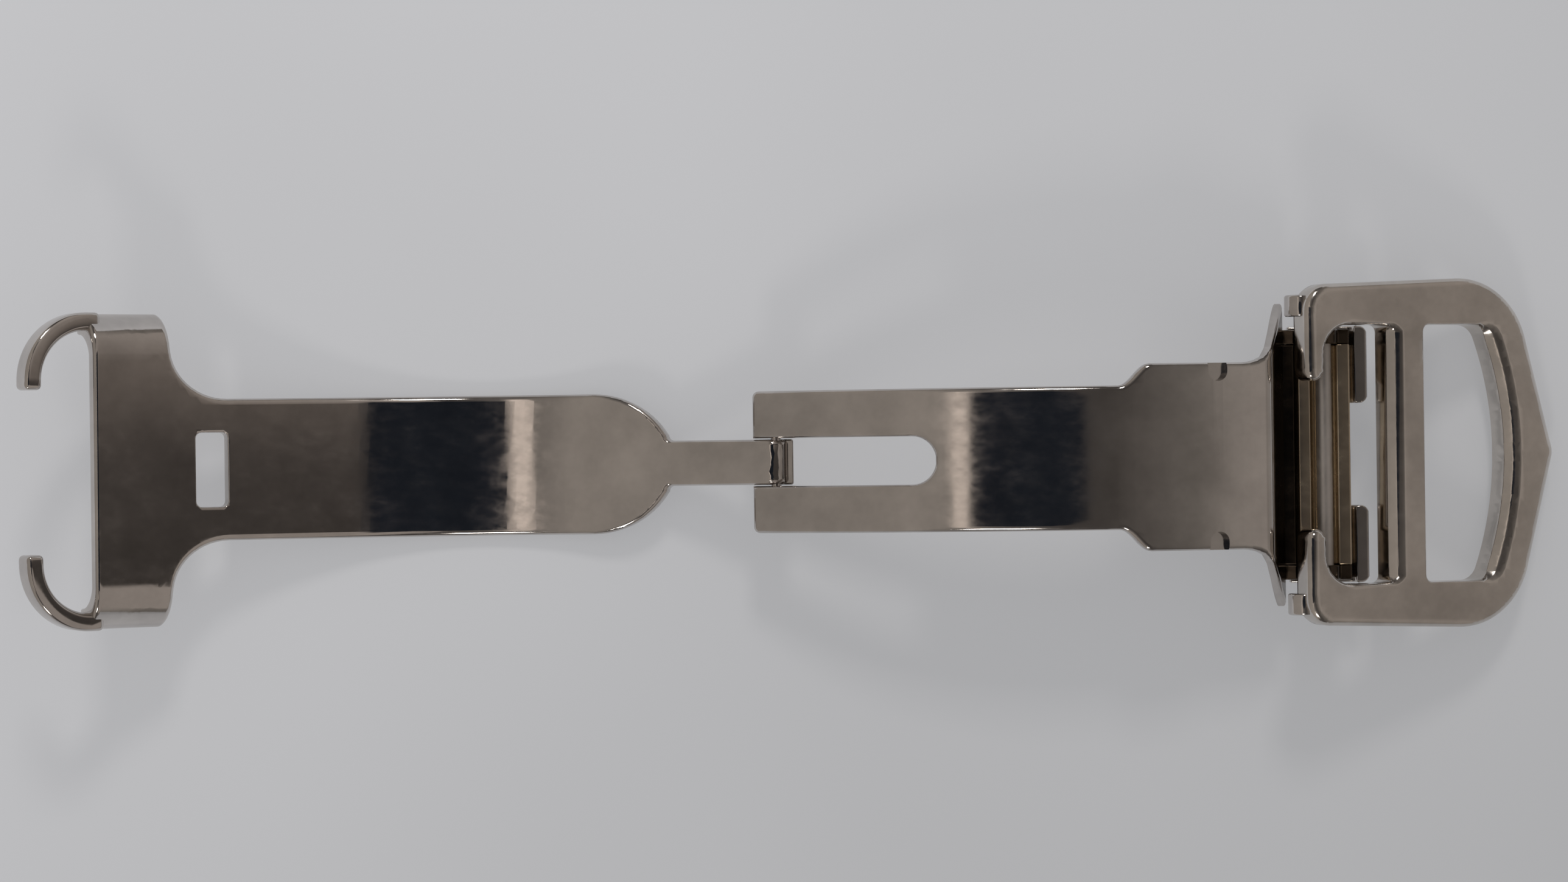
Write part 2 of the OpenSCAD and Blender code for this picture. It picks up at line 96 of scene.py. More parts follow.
bpy.ops.object.select_all(action="DESELECT")
bpy.ops.mesh.primitive_plane_add(size=TABLE_SIDE)
table = bpy.context.object
table.name = "table"
material, tree, shader = new_material("matt_pale_table", "#b6b6b7", 0.7, 0.0)
shader.inputs["Specular IOR Level"].default_value = 0.0
place = add(tree, "ShaderNodeTexCoord").outputs["Object"]
slope = add(tree, "ShaderNodeVectorMath", {"operation": "DOT_PRODUCT", 1: TONE_SLOPE},
            in0=place)
cloud = add(tree, "ShaderNodeTexNoise", {"Scale": CLOUDS, "Detail": 1.5, "Roughness": 0.4},
            Vector=place)
mixed = add(tree, "ShaderNodeMath", {"operation": "MULTIPLY_ADD", 1: CLOUD_SHARE},
            in0=cloud.outputs["Fac"], in2=slope.outputs["Value"])
shade = add(tree, "ShaderNodeMath", {"operation": "ADD", 1: TONE_START},
            in0=mixed.outputs[0])
tone = add(tree, "ShaderNodeValToRGB", {"stops": [(0.0, "#c9cacd"), (1.0, "#a2a3a5")]},
           in0=shade.outputs[0]).outputs["Color"]
tree.links.new(tone, shader.inputs["Base Color"])
tree.links.new(tone, shader.inputs["Emission Color"])
shader.inputs["Emission Strength"].default_value = TABLE_GLOW
table.data.materials.append(material)


# Camera: straight above the clasp, 250 mm over the table, turned by the
# photograph's small roll.

SENSOR, LENS = 36, 92.95
CAMERA_PLACE = (-0.742, 1.27, 250)  # mm
ROLL = math.radians(-0.79)

camera_data = bpy.data.cameras.new("camera")
camera_data.sensor_width = SENSOR
camera_data.lens = LENS
camera = bpy.data.objects.new("camera", camera_data)
bpy.context.scene.collection.objects.link(camera)
camera.location = [c * MM for c in CAMERA_PLACE]
camera.rotation_euler = (0, 0, ROLL)
bpy.context.scene.camera = camera
bpy.context.scene.view_settings.view_transform = "Standard"


# Light: an even, pale sky for the table. Polished steel mirrors a dim, warm grey
# room instead, with a dark lens overhead, a bright gap left of it and a screen.

world = bpy.data.worlds.new("studio")
bpy.context.scene.world = world
world.use_nodes = True
tree = world.node_tree
direction = add(tree, "ShaderNodeTexCoord").outputs["Generated"]
along = add(tree, "ShaderNodeSeparateXYZ", in0=direction)
left_to_right = add(tree, "ShaderNodeMath", {"operation": "MULTIPLY_ADD", 1: 0.5, 2: 0.5},
                    in0=along.outputs["X"])
room = add(tree, "ShaderNodeValToRGB", {"stops": [
    (0.0, "#96908a"), (0.33, "#a19a93"), (0.44, "#6a6663"), (0.53, "#4d4947"),
    (0.61, "#504c49"), (0.68, "#6c6763"), (0.75, "#77726d"), (0.81, "#9d9690"),
    (0.86, "#a39b95"), (0.91, "#8f8882"), (1.0, "#98928d")]}, in0=left_to_right.outputs[0])
glossy = add(tree, "ShaderNodeLightPath").outputs["Is Glossy Ray"]
sky = add(tree, "ShaderNodeMix", {"data_type": "RGBA", 6: srgb("#aaa9a9")},
          in0=glossy, in7=room.outputs["Color"])
tree.links.new(sky.outputs[2], tree.nodes["Background"].inputs["Color"])


def glowing(name, colour, strength):
    """A black material that gives off one even light."""
    material, tree, shader = new_material(name, "#000000", 1.0, 0.0)
    shader.inputs["Specular IOR Level"].default_value = 0.0
    shader.inputs["Emission Color"].default_value = srgb(colour)
    shader.inputs["Emission Strength"].default_value = strength
    return material


def panel(corners):
    """A flat panel between four corners in mm."""
    bpy.ops.object.select_all(action="DESELECT")
    bpy.ops.mesh.primitive_plane_add()
    for vertex, corner in zip(bpy.context.object.data.vertices, corners):
        vertex.co = Vector(corner) * MM
    return bpy.context.object


def only_mirrored(thing, name, material):
    """Makes a thing a part of the room that only reflections see."""
    thing.name = name
    thing.data.materials.append(material)
    thing.visible_camera = thing.visible_diffuse = thing.visible_shadow = False


only_mirrored(panel([(x, y, 252) for y in (-140, 140) for x in (-70, -55)]), "bright_gap",
              glowing("bright_gap", "#e3d6cb", 1.2))

bpy.ops.object.select_all(action="DESELECT")
bpy.ops.mesh.primitive_circle_add(vertices=64, radius=54 * MM, fill_type="NGON",
                                  location=(-1 * MM, 0, 262 * MM))
only_mirrored(bpy.context.object, "dark_lens", glowing("dark_lens", "#20242b", 1.0))


# Screen: stands on edge in the room's middle, so that of the two blades only the
# cover mirrors it. It is dark, with light on both sides, and clear from behind.

SCREEN_X = 10  # mm
SCREEN_HALF = 0.06  # metres to each side over which its tones change
UPPER_FROM, UPPER_TO = 0.118, 0.132  # metres up, where its darkest part begins
LIGHT, DARK = "#a39b95", "#20242b"

material, tree, shader = new_material("dark_screen", "#000000", 1.0, 0.0)
place = add(tree, "ShaderNodeSeparateXYZ",
            in0=add(tree, "ShaderNodeTexCoord").outputs["Object"])
side = add(tree, "ShaderNodeMapRange", {"From Min": -SCREEN_HALF, "From Max": SCREEN_HALF},
           Value=place.outputs["Y"])
upper = add(tree, "ShaderNodeMapRange", {"From Min": UPPER_FROM, "From Max": UPPER_TO},
            Value=place.outputs["Z"])
low_tones = add(tree, "ShaderNodeValToRGB", {"stops": [
    (0.0, LIGHT), (0.40, LIGHT), (0.412, "#433f3c"), (0.5, "#4d4845"), (0.525, "#5a5450"),
    (0.56, "#79716b"), (0.62, "#8f8781"), (1.0, LIGHT)]}, in0=side.outputs[0])
high_tones = add(tree, "ShaderNodeValToRGB", {"stops": [
    (0.0, LIGHT), (0.17, LIGHT), (0.21, DARK), (0.79, DARK), (0.83, LIGHT),
    (1.0, LIGHT)]}, in0=side.outputs[0])
tones = add(tree, "ShaderNodeMix", {"data_type": "RGBA"}, in0=upper.outputs[0],
            in6=low_tones.outputs["Color"], in7=high_tones.outputs["Color"])
glow = add(tree, "ShaderNodeEmission", Color=tones.outputs[2])
behind = add(tree, "ShaderNodeNewGeometry").outputs["Backfacing"]
clear = add(tree, "ShaderNodeBsdfTransparent")
both = add(tree, "ShaderNodeMixShader", in0=behind, in1=glow.outputs[0],
           in2=clear.outputs[0])
tree.links.new(both.outputs[0], tree.nodes["Material Output"].inputs["Surface"])
only_mirrored(panel([(SCREEN_X, y, z) for z in (20, 500) for y in (200, -200)]),
              "dark_screen", material)


# Lamps: two small, slightly warm ones, one behind the clasp and one in front of
# it, that both point at it.

LAMP_SIZE = 0.16  # metres, as are their places

for name, spot, power in [("lamp_back", (0.05, 0.75, 0.62), 1.6),
                          ("lamp_front", (-0.10, -0.80, 0.55), 1.0)]:
    data = bpy.data.lights.new(name, "AREA")
    data.size = LAMP_SIZE
    data.energy = power
    data.color = (1.0, 0.96, 0.92)
    lamp = bpy.data.objects.new(name, data)
    bpy.context.scene.collection.objects.link(lamp)
    lamp.location = spot
    lamp.rotation_euler = Vector(spot).to_track_quat("Z", "Y").to_euler()


# Steel finishes: stainless steel, cut, bent and polished on a soft wheel. It
# mirrors the room, a little wavy, with a haze of fine wear and short scratches.

PATCHES = 260  # per metre: patches of wear about 4 mm across
STREAKS = 900  # per metre: rubbed streaks along the clasp, 1.1 mm long, half as wide
RIPPLES = 420  # per metre: the polish's ripples, some 2.4 mm apart
GRAIN = 9000  # per metre: fine grain of 0.1 mm, coarser than the real one, to show
GRAIN_SHARE = 0.02
DARKER, PALER = 0.85, 1.13  # the colour's range over the patches


def worn_steel(name, colour, smooth, worn, turn=0.5, wave=4e-6):
    """Steel whose roughness lies between two levels, in patches and short streaks.

    turn only gives the streaks another pattern. wave is the height of the
    polish's ripples, in metres.
    """
    material, tree, shader = new_material(name, colour, smooth, 1.0)
    place = add(tree, "ShaderNodeTexCoord").outputs["Object"]
    wear = add(tree, "ShaderNodeTexNoise",
               {"Scale": PATCHES, "Detail": 4, "Roughness": 0.62}, Vector=place)
    turned = add(tree, "ShaderNodeMapping",
                 {"Rotation": (0, 0, turn), "Scale": (1, 2, 1)}, Vector=place)
    rubbed = add(tree, "ShaderNodeTexNoise",
                 {"Scale": STREAKS, "Detail": 3, "Roughness": 0.6}, Vector=turned.outputs[0])
    both = add(tree, "ShaderNodeMath", {"operation": "MULTIPLY"},
               in0=wear.outputs["Fac"], in1=rubbed.outputs["Fac"])
    rough = add(tree, "ShaderNodeMapRange",
                {"From Min": 0.12, "From Max": 0.42, "To Min": smooth, "To Max": worn},
                Value=both.outputs[0])
    tree.links.new(rough.outputs[0], shader.inputs["Roughness"])
    spread = add(tree, "ShaderNodeMapRange", {"From Min": 0.3, "From Max": 0.7},
                 Value=wear.outputs["Fac"])
    shades = [[c * k for c in srgb(colour)[:3]] + [1] for k in (DARKER, PALER)]
    tint = add(tree, "ShaderNodeMix", {"data_type": "RGBA", 6: shades[0], 7: shades[1]},
               in0=spread.outputs[0])
    tree.links.new(tint.outputs[2], shader.inputs["Base Color"])
    waves = add(tree, "ShaderNodeTexNoise", {"Scale": RIPPLES, "Detail": 1}, Vector=place)
    grain = add(tree, "ShaderNodeTexNoise",
                {"Scale": GRAIN, "Detail": 2, "Roughness": 0.6}, Vector=place)
    heights = add(tree, "ShaderNodeMath", {"operation": "MULTIPLY_ADD", 1: GRAIN_SHARE},
                  in0=grain.outputs["Fac"], in2=waves.outputs["Fac"])
    bump = add(tree, "ShaderNodeBump", {"Strength": 1.0, "Distance": wave},
               Height=heights.outputs[0])
    tree.links.new(bump.outputs[0], shader.inputs["Normal"])
    return material


# Polished: shows the room clearly, in a slightly warm grey.
steel = worn_steel("polished_stainless_steel", "#c4bfbb", 0.04, 0.14)
# Polished, then dulled by wear: shows the room with soft edges.
hazy_steel = worn_steel("hazy_stainless_steel", "#c4bfbb", 0.06, 0.17, wave=7e-6)
# Milled and not polished: a duller, yellowish grey.
brown_steel = worn_steel("milled_stainless_steel", "#cfc0aa", 0.12, 0.3, turn=1.5)
# Worn to satin: shows only broad light and dark, in slow waves.
satin_steel = worn_steel("satin_stainless_steel", "#cbc5bf", 0.09, 0.22, wave=1.4e-5)
# Drawn wire, left as it was drawn: matt.
wire_steel = worn_steel("drawn_steel_wire", "#c4bfbb", 0.4, 0.6, turn=1.57)
# Painted shade: steel painted dark brown and dull, standing in for the shade and dark
# reflections in corners.
shade_painted_steel = worn_steel("steel_painted_dark_as_shade", "#4a4138", 0.15, 0.3)

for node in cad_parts.values():
    for place in node.material_slots:
        place.material = steel


# Cover blade: a strip of steel bent to one long curve, cut narrow at its right
# end and wide at its left, where both sides of the strap head turn down.

SHEET = 0.8  # mm, as is every length until finish_piece goes to metres
BLADE_R = 38
COVER_CENTRE = (-19.0769, 38.8)
TONGUE = 1.375  # half its width
FOLD_AT, FOLD_R = 7.0, 2.55  # where the head's sides turn down, and how tightly
FOLD_SWELL = 0.44  # the sheet grows that much thicker for each radian of the fold
NOSE_AT, NOSE_R = 17.819, 1
NOSE_CENTRE = (-1.4412, 4.0126)
PROUD = 0.02  # how far a cutter stands above the face that it cuts
SMOOTH_UNDER = math.radians(40)
MERGE = 0.000002  # metres


def arc(cx, cy, r, start, end, steps):
    """Points along an arc, its angles in degrees from the x axis."""
    turns = [math.radians(start + (end - start) * i / steps) for i in range(steps + 1)]
    return [(cx + r * math.cos(t), cy + r * math.sin(t)) for t in turns]


def both_halves(points):
    """Closes an outline with its mirror image across the clasp."""
    return points + [(x, -y) for x, y in reversed(points)]


def steps(start, end, step):
    """Even steps from start, as far as end."""
    return [start + i * step for i in range(int((end - start) / step + 0.001) + 1)]


def rounded(wide, deep, steps=6):
    """Steps of a rounding, as widths and depths from the sharp corner."""
    turns = [math.pi / 2 * i / steps for i in range(steps + 1)]
    return [(wide * (1 - math.cos(t)), deep * (1 - math.sin(t))) for t in turns]


def plate(name, outline, thickness, top=0.0, face=((0, 0),), back=((0, 0),)):
    """A plate in mm below the height of top; face and back are its edges' steps.

    Either may be a function that gives the steps for a place on the outline.
    """
    count = len(outline)
    area = sum(p[0] * q[1] - q[0] * p[1] for p, q in zip(outline, outline[1:] + outline[:1]))
    inward = []
    for i in range(count):
        before = Vector(outline[i]) - Vector(outline[i - 1])
        after = Vector(outline[(i + 1) % count]) - Vector(outline[i])
        n = Vector((-before.y, before.x)).normalized()
        m = Vector((-after.y, after.x)).normalized()
        inward.append((n + m) / (1 + n.dot(m)) * math.copysign(1, area))
    rings = []
    for side, end, out in [(back, top - thickness, 1), (face, top, -1)]:
        edges = [side(x, y) if callable(side) else side for x, y in outline]
        levels = [[(x + way.x * edge[i][0], y + way.y * edge[i][0], end + out * edge[i][1])
                   for (x, y), way, edge in zip(outline, inward, edges)]
                  for i in range(len(edges[0]))]
        rings += levels[::-1] if out > 0 else levels
    bpy.ops.object.select_all(action="DESELECT")
    bpy.ops.mesh.primitive_circle_add(vertices=count, fill_type="NGON")
    piece = bpy.context.object
    piece.name = name
    for vertex, place in zip(piece.data.vertices, rings[0]):
        vertex.co = place
    for low, high in zip(rings, rings[1:]):
        bpy.ops.object.mode_set(mode="EDIT")
        bpy.ops.mesh.extrude_region_move()
        bpy.ops.object.mode_set(mode="OBJECT")
        tops = [vertex for vertex in piece.data.vertices if vertex.select]
        for vertex in tops:
            nearest = min(range(count), key=lambda i: (Vector(low[i]) - vertex.co).length)
            vertex.co = high[nearest]
    bpy.ops.object.mode_set(mode="EDIT")
    bpy.ops.mesh.select_all(action="SELECT")
    bpy.ops.mesh.normals_make_consistent(inside=False)
    bpy.ops.object.mode_set(mode="OBJECT")
    return piece


def change(piece, kind, **settings):
    """Adds a modifier and applies it."""
    bpy.context.view_layer.objects.active = piece
    modifier = piece.modifiers.new(kind, kind)
    for key, value in settings.items():
        setattr(modifier, key, value)
    bpy.ops.object.modifier_apply(modifier=kind)


def cut(piece, tool):
    """Takes the tool's volume out of the piece."""
    change(piece, "BOOLEAN", operation="DIFFERENCE", object=tool)
    bpy.data.meshes.remove(tool.data)


def soften(piece, width, segments=3, angle=60):
    """Rounds the edges that are sharper than an angle."""
    change(piece, "BEVEL", width=width, segments=segments, limit_method="ANGLE",
           angle_limit=math.radians(angle), use_clamp_overlap=False)


def slice_along(piece, axis, places):
    """Cuts the mesh across an axis at each place, so that it can follow a curve."""
    bpy.context.view_layer.objects.active = piece
    bpy.ops.object.mode_set(mode="EDIT")
    bpy.ops.mesh.select_all(action="SELECT")
    bpy.ops.mesh.quads_convert_to_tris(quad_method="BEAUTY", ngon_method="BEAUTY")
    normal = [0, 0, 0]
    normal[axis] = 1
    for place in places:
        bpy.ops.mesh.select_all(action="SELECT")
        bpy.ops.mesh.bisect(plane_co=[n * place for n in normal], plane_no=normal)
    bpy.ops.object.mode_set(mode="OBJECT")


def finish_piece(piece, place, finish, body, replaces, holes=()):
    """Moves every point to its place, cuts the holes, then goes to metres and smooths."""
    for shape in [piece, *holes]:
        for vertex in shape.data.vertices:
            vertex.co = Vector(place(*vertex.co))
    for hole in holes:
        cut(piece, hole)
    for vertex in piece.data.vertices:
        vertex.co = vertex.co * MM
    bpy.ops.object.select_all(action="DESELECT")
    piece.select_set(True)
    bpy.context.view_layer.objects.active = piece
    bpy.ops.object.mode_set(mode="EDIT")
    bpy.ops.mesh.select_all(action="SELECT")
    bpy.ops.mesh.remove_doubles(threshold=MERGE)
    bpy.ops.mesh.normals_make_consistent(inside=False)
    bpy.ops.object.mode_set(mode="OBJECT")
    bpy.ops.object.shade_smooth_by_angle(angle=SMOOTH_UNDER)
    change(piece, "WEIGHTED_NORMAL", weight=60, keep_sharp=True)
    piece.data.materials.clear()
    piece.data.materials.append(finish)
    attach(piece, body)
    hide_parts(*replaces)


def on_strip(points, centre_x):
    """Places along a blade's face for points seen from above."""
    return [(BLADE_R * math.asin((x - centre_x) / BLADE_R), y) for x, y in points]


def on_cover(u, y, z):
    """Bends the flat cover: the long curve, the head's sides and the tongue's nose."""
    side = abs(y) - FOLD_AT
    if side > 0:
        turn, r = side / FOLD_R, FOLD_R + z * (1 + FOLD_SWELL * side / FOLD_R)
        y, z = math.copysign(FOLD_AT + r * math.sin(turn), y), r * math.cos(turn) - FOLD_R
    if u > NOSE_AT:
        turn, r = NOSE_AT / BLADE_R - (u - NOSE_AT) / NOSE_R, NOSE_R + z
        return NOSE_CENTRE[0] - r * math.sin(turn), y, NOSE_CENTRE[1] + r * math.cos(turn)
    turn, r = u / BLADE_R, BLADE_R - z
    return COVER_CENTRE[0] + r * math.sin(turn), y, COVER_CENTRE[1] - r * math.cos(turn)


strip_face = rounded(0.34, 0.28)
strip_back = rounded(0.12, 0.12, 2)
tongue_root = arc(-7.6303, 1.725, 0.35, 270, 210, 4)
shoulder = arc(-12.5258, -1.0, 5.3, 30.94, 90, 14)
neck = arc(-34.4451, 7.5, 3.2, 270, 180, 14)
head_corners = arc(-19.8, 10.35, 0.4, 0, 90, 4) + arc(-24.0, 10.35, 0.4, 90, 180, 4)
cover = plate("cover_strip", both_halves(
    [(19.33, TONGUE)] + on_strip(tongue_root + shoulder + neck, COVER_CENTRE[0])
    + head_corners), SHEET, face=strip_face, back=strip_back)
window = plate("window", both_halves(
    arc(-16.25, 1.9, 0.35, 0, 90, 5) + arc(-17.55, 1.9, 0.35, 90, 180, 5)), 1.02,
    top=PROUD, face=rounded(-0.14, 0.14, 4))

# Beside its even slices the mesh is cut close to the window and to the blade's
# edges, so that their roundings don't tilt the shading of the flat face.
beside_window = [-18.12, -15.68]
beside_edges = [-2.47, 2.47, -3.93, 3.93]
down_the_sides = [side * (FOLD_AT + k * 0.34) for side in (-1, 1) for k in range(11)]
slice_along(cover, 0, steps(-24.0, 19.2, 0.6) + beside_window)
slice_along(cover, 1, down_the_sides + steps(-6.6, 6.6, 0.55) + beside_edges)
slice_along(window, 0, steps(-18.0, -15.9, 0.35))
finish_piece(cover, on_cover, steel, "cover", ["cover_blade"],
             holes=[window])


# Knuckle: the lip under the tongue's nose, round about the middle hinge's pin,
# bent from the same steel as the tongue and polished with it.

HINGE = (-1.2303, 4.5170)
LEAN = math.radians(27.5)
KNUCKLE_R = 1.05


def on_hinge(along, out, across):
    """From the tongue's own directions at the middle hinge to the clasp's."""
    return (HINGE[0] + along * math.cos(LEAN) - out * math.sin(LEAN), across,
            HINGE[1] + along * math.sin(LEAN) + out * math.cos(LEAN))


lip = plate("knuckle_lip", arc(0, 0, KNUCKLE_R, -16.6, -163.4, 20), 2 * TONGUE, top=TONGUE)
soften(lip, 0.12)
finish_piece(lip, on_hinge, steel, "cover", ["cover_blade"])


# Strap fingers: two square bars that curl round from the head's sides, rounded
# at their edges, to hold the strap's end.

HEAD_END = (-41.8344, 8.3682)  # on the cover's face, at the head's left end
HEAD_TURN = math.radians(-36.79)
FINGER_L, FINGER_W, FINGER_T = 7.026, 1.1, 1.5
FINGER_DOWN = 1.55  # from the head's face to the finger's middle
ROOT = 0.9  # its straight start, inside the head's side
CURL_END, CURL_R, CURL_Y = 6.476, 3.55, 5.45


def on_finger(s, w, z, side):
    """Bends a straight finger: its root, its curl and its short straight tip."""
    if s < ROOT:
        x, y = ROOT - s, CURL_Y + CURL_R + w
    elif s < CURL_END:
        turn = (s - ROOT) / CURL_R
        x, y = -(CURL_R + w) * math.sin(turn), CURL_Y + (CURL_R + w) * math.cos(turn)
    else:
        x, y = -CURL_R - w, CURL_Y - (s - CURL_END)
    z -= FINGER_DOWN
    return (HEAD_END[0] + x * math.cos(HEAD_TURN) - z * math.sin(HEAD_TURN), side * y,
            HEAD_END[1] + x * math.sin(HEAD_TURN) + z * math.cos(HEAD_TURN))


for side in (-1, 1):
    half = FINGER_W / 2
    finger = plate("strap_finger", [(0, -half), (FINGER_L, -half), (FINGER_L, half), (0, half)],
                   FINGER_T, top=FINGER_T / 2)
    soften(finger, 0.3, segments=5)
    slice_along(finger, 0, steps(ROOT, 6.5, 0.3))
    finish_piece(finger, lambda s, w, z: on_finger(s, w, z, side), steel,
                 "cover", ["cover_blade"])


# Base blade: the same strip, forked at its left end, with a nail nick in each
# edge of its wider part, then bent steeply down to the buckle's hinge.

BASE_CENTRE = (16.0160, -28.6128)
BLADE_HALF = 4.3  # half its width
BEND_AT, BEND_R = 12.30, 1
WALL = math.radians(73)
WALL_THINNING = 0.25
SLOT_HALF = 1.445
WIDEN_FROM, WIDEN_L = 19.216, 1.9
WALL_FOOT = 28.3


def on_base(u, y, z):
    """Bends the flat base: the long curve, the sharp bend and the thinner wall."""
    if u < BEND_AT:
        turn, r = u / BLADE_R, BLADE_R + z
        return BASE_CENTRE[0] + r * math.sin(turn), y, BASE_CENTRE[1] + r * math.cos(turn)
    start = BEND_AT / BLADE_R
    turn = min(start + u - BEND_AT, WALL)
    down = u - BEND_AT - (turn - start)
    z *= 1 - WALL_THINNING * (turn - start) / (WALL - start)
    inner = BLADE_R - BEND_R
    return (BASE_CENTRE[0] + inner * math.sin(start) + (BEND_R + z) * math.sin(turn)
            + down * math.cos(WALL), y,
            BASE_CENTRE[1] + inner * math.cos(start) + (BEND_R + z) * math.cos(turn)
            - down * math.sin(WALL))


slot = on_strip(arc(6.8247, 0, SLOT_HALF, 9, 90, 9), BASE_CENTRE[0])
fork_end = on_strip(arc(-2.3803, 3.95, 0.35, 180, 90, 5), BASE_CENTRE[0])
widening = on_strip([(WIDEN_FROM + WIDEN_L * i / 10,
                      BLADE_HALF + 0.65 * (1 - math.cos(math.pi * i / 10)))
                     for i in range(11)], BASE_CENTRE[0])
flare = [(10.9, 5.6), (11.4, 5.64), (11.9, 5.76), (12.3, 5.95), (12.6, 6.13), (12.9, 6.33),
         (13.2, 6.54), (13.5, 6.78), (13.9, 7.1), (14.35, 7.46), (14.8, 7.86), (15.2, 8.23),
         (15.7, 8.62), (16.2, 8.97), (16.64, 9.2)]
base = plate("base_strip", both_halves(
    slot + [(fork_end[0][0], SLOT_HALF)] + fork_end + widening + flare), SHEET,
    face=strip_face, back=strip_back)
slice_along(base, 0, steps(-19.2, 12.2, 0.6) + steps(BEND_AT, 13.25, 0.1)
            + [13.35, 14.5, 15.5])
nick_outline = arc(9.3, 5.1, 0.6, 180, 360, 16) + [(9.9, 7), (8.7, 7)]
nicks = [plate("nick", [(x, side * y) for x, y in nick_outline], 1.55, top=1.0)
         for side in (-1, 1)]
finish_piece(base, on_base, hazy_steel, "base", ["base_blade"],
             holes=nicks)
# Painted shade: the wall's foot is painted dark, for its shade and dark reflections.
base.data.materials.append(shade_painted_steel)
for face in base.data.polygons:
    if face.normal.x > 0.9 and face.normal.z > 0.2 and face.center.x > WALL_FOOT * MM:
        face.material_index = 1


# Fork's barrels: one at the end of each arm of the fork, round about the middle
# hinge's pin, with the knuckle between them.

BARREL_R = 0.95
BARREL_IN, BARREL_OUT = 1.46, 4.29  # from the clasp's middle

for side in (-1, 1):
    barrel = plate("fork_barrel", arc(0, 0, BARREL_R, -12.2, -167.8, 18),
                   BARREL_OUT - BARREL_IN, top=BARREL_OUT if side > 0 else -BARREL_IN)
    soften(barrel, 0.12)
    finish_piece(barrel, on_hinge, steel, "base", ["base_blade"])


# Channel: the block at the wall's foot, with the long groove that holds the
# buckle's hinge rod, and a cheek at each end that the rod passes through.

ROD = (31.9928, 4.6234)
GROOVE_R, CHEEK_R = 0.8, 0.86
CHANNEL_HALF, CHEEK_T = 6.7, 0.9
RIB_X = 30.35  # left of it the block is painted dark, as shade


def upright(x, z, y):
    """A plate that stands across the clasp, its outline seen from the side."""
    return x, y, z


foot = [(29.45, 3.273), (33.593, 3.273), (33.593, 4.623)]
rib = [(30.44, 4.623), (30.36, 3.7), (29.45, 3.6)]
channel = plate("rod_channel", foot + arc(*ROD, GROOVE_R, 0, -180, 12) + rib,
                2 * CHANNEL_HALF, top=CHANNEL_HALF)
soften(channel, 0.1, angle=50)
finish_piece(channel, upright, brown_steel, "base", ["base_blade"])
# Painted shade: the block's faces left of the rib are painted dark, for the shade beside the
# wall.
channel.data.materials.append(shade_painted_steel)
for face in channel.data.polygons:
    if face.center.x < RIB_X * MM:
        face.material_index = 1
# Painted shade: both cheeks are painted dark all over, as shade.
for side in (-1, 1):
    cheek = plate("rod_cheek", foot + arc(*ROD, CHEEK_R, 0, 180, 16) + rib, CHEEK_T,
                  top=CHANNEL_HALF + CHEEK_T if side > 0 else -CHANNEL_HALF)
    soften(cheek, 0.1, angle=50)
    finish_piece(cheek, upright, shade_painted_steel, "base", ["base_blade"])


# Hinge rod of the buckle: a length of drawn wire, cut square at its ends. It
# lies in the channel's groove and carries the buckle's two ears.

ROD_R, ROD_L = 0.48, 18.68

bpy.ops.object.select_all(action="DESELECT")
bpy.ops.mesh.primitive_cylinder_add(vertices=64, radius=ROD_R, depth=ROD_L)
rod = bpy.context.object
rod.name = "buckle_hinge_rod"
soften(rod, 0.08, angle=50)
finish_piece(rod, lambda x, y, z: (ROD[0] + x, z, ROD[1] + y), wire_steel,
             "base", ["buckle_hinge_pin"])


# Buckle frame: cast and milled, thick and softly rounded, with two arms beside
# the neck, a bar across its middle and a blunt point at its end.

TILT = math.radians(23.188)
EAR_X, EAR_DROP = 2.8, 1.02  # the rod's place in the frame
BUCKLE_T = 1.9
BAR_EDGE = [(0, 0.62), (0.03, 0.57), (0.38, 0.22), (0.44, 0.175), (0.80, 0.02), (0.86, 0.005),
            (0.95, 0)]


def on_buckle(along, y, z):
    """From the frame's own directions to the clasp's, tilted about the rod."""
    x, up = along - EAR_X, z + EAR_DROP
    return (ROD[0] + x * math.cos(TILT) + up * math.sin(TILT), y,
            ROD[1] - x * math.sin(TILT) + up * math.cos(TILT))


def blend(first, second, share):
    """Steps of an edge that lies between two others."""
    return [(a + (c - a) * share, b + (d - b) * share)
            for (a, b), (c, d) in zip(first, second)]


def is_outside(x, y):
    """Whether a place of the outline is on the frame's outside or at an arm's end."""
    return x < 1.25 or x > 5.85 or abs(y) > 7.81


def frame_face(x, y):
    """The face's edges: soft outside and round the arms, a rolled bevel at the bar."""
    if is_outside(x, y):
        return rounded(0.6, 0.5)
    if x < 5:
        return rounded(0.45, 0.35)
    return blend(rounded(0.2, 0.2), BAR_EDGE, min(1, max(0, (7.8 - abs(y)) / 0.45)))


def frame_back(x, y):
    """The back's edges: soft outside, nearly sharp at the left window."""
    return rounded(0.45, 0.45, 3) if is_outside(x, y) else rounded(0.08, 0.08, 3)


def window_edge(x, y):
    """The right window's edges: tight at the bar, the rolled bevel along its far side."""
    far = min(1.0, max(0.0, (x - 11.9) / 0.9))
    edge = blend(rounded(0.1, 0.1), BAR_EDGE, far)
    return [(-wide, deep + PROUD) for wide, deep in edge[:-1]] + [(-edge[-1][0], 0)]


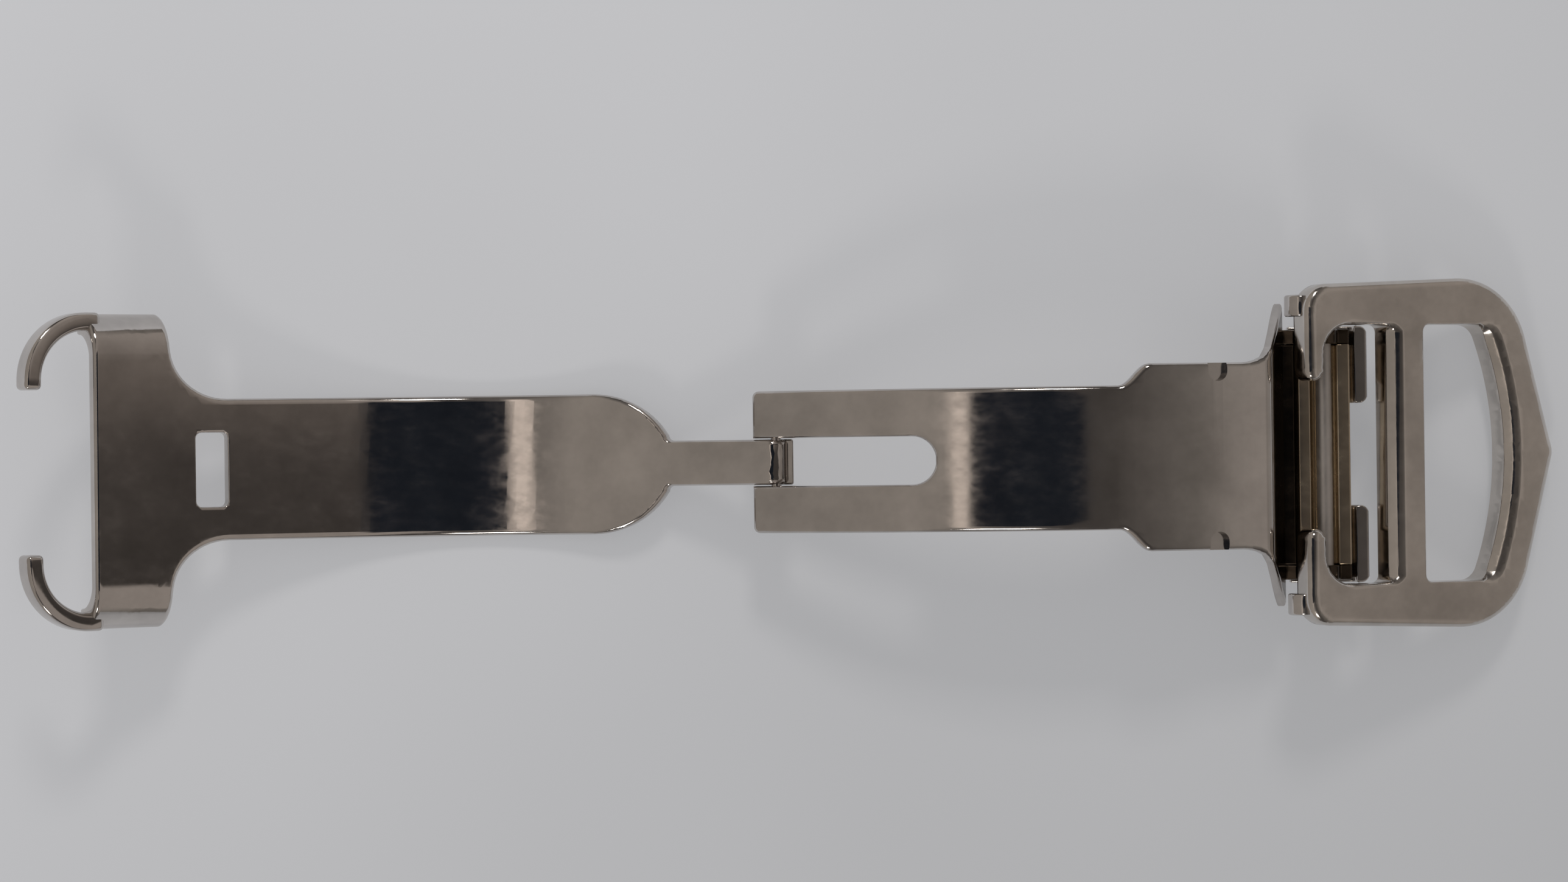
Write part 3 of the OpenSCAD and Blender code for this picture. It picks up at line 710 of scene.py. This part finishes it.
blunt_point = arc(16.2, 0, 1.2, 1.5, 15.15, 3)
slanted_side = arc(10.9, 5.8, 4.8, 15.15, 92.17, 20)
frame_corner = arc(1.6, 8.65, 1.6, 92.17, 180, 12)
left_window = (arc(0.635, 5.055, 0.635, 180, 360, 14) + arc(3.07, 6.0, 1.8, 180, 90, 12)
               + arc(5.35, 7.35, 0.45, 90, 0, 5))
buckle = plate("buckle_frame_body",
               both_halves(blunt_point + slanted_side + frame_corner + left_window),
               BUCKLE_T, top=BUCKLE_T, face=frame_face, back=frame_back)
far_side = arc(-5.2, 0, 19.3, 1.8, 20.8, 10)
right_window = plate("right_window", both_halves(
    far_side + arc(11.652, 6.6, 1.2, 25, 90, 8) + arc(8.55, 7.35, 0.45, 90, 180, 5)), 2.94,
    top=BUCKLE_T + PROUD, face=window_edge)
slice_along(buckle, 0, steps(0.2, 17.2, 0.5))
slice_along(buckle, 1, steps(-10.4, 10.4, 0.52))
cut(buckle, right_window)
finish_piece(buckle, on_buckle, satin_steel, "buckle", ["buckle_frame"])


# Hinge ears: a rounded block at the end of each arm of the frame, which hangs on
# the rod outside the channel's cheek.

EAR_T = 1.3
EAR_IN, EAR_OUT = 8.3, 9.6  # from the clasp's middle

heel = (arc(0.4, 0.4, 0.95, 80, 215, 12) + arc(EAR_X, -EAR_DROP, 1.3, 215, 360, 20)
        + [(4.1, 0.3)])
for side in (-1, 1):
    ear = plate("hinge_ear", heel, EAR_T, top=EAR_OUT if side > 0 else -EAR_IN)
    soften(ear, 0.15, angle=50)
    finish_piece(ear, lambda x, z, y: on_buckle(x, y, z), steel, "buckle",
                 ["buckle_frame"])


# Tail bracket, and the pegs and the pin that hardly show: the solids themselves,
# the bracket with its edges rounded.

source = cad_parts["tail_bracket"]
bracket = bpy.data.objects.new("bracket_with_tabs", source.data.copy())
bpy.context.scene.collection.objects.link(bracket)
bpy.ops.object.select_all(action="DESELECT")
bracket.select_set(True)
bpy.context.view_layer.objects.active = bracket
bpy.ops.mesh.customdata_custom_splitnormals_clear()
bpy.ops.object.mode_set(mode="EDIT")
bpy.ops.mesh.select_all(action="SELECT")
bpy.ops.mesh.remove_doubles(threshold=0.00001)
bpy.ops.mesh.dissolve_limited(angle_limit=math.radians(1))
bpy.ops.object.mode_set(mode="OBJECT")
for vertex in bracket.data.vertices:
    vertex.co = vertex.co / MM
soften(bracket, 0.12, angle=50)
finish_piece(bracket, lambda x, y, z: (x, y, z), satin_steel, "base",
             ["tail_bracket"])
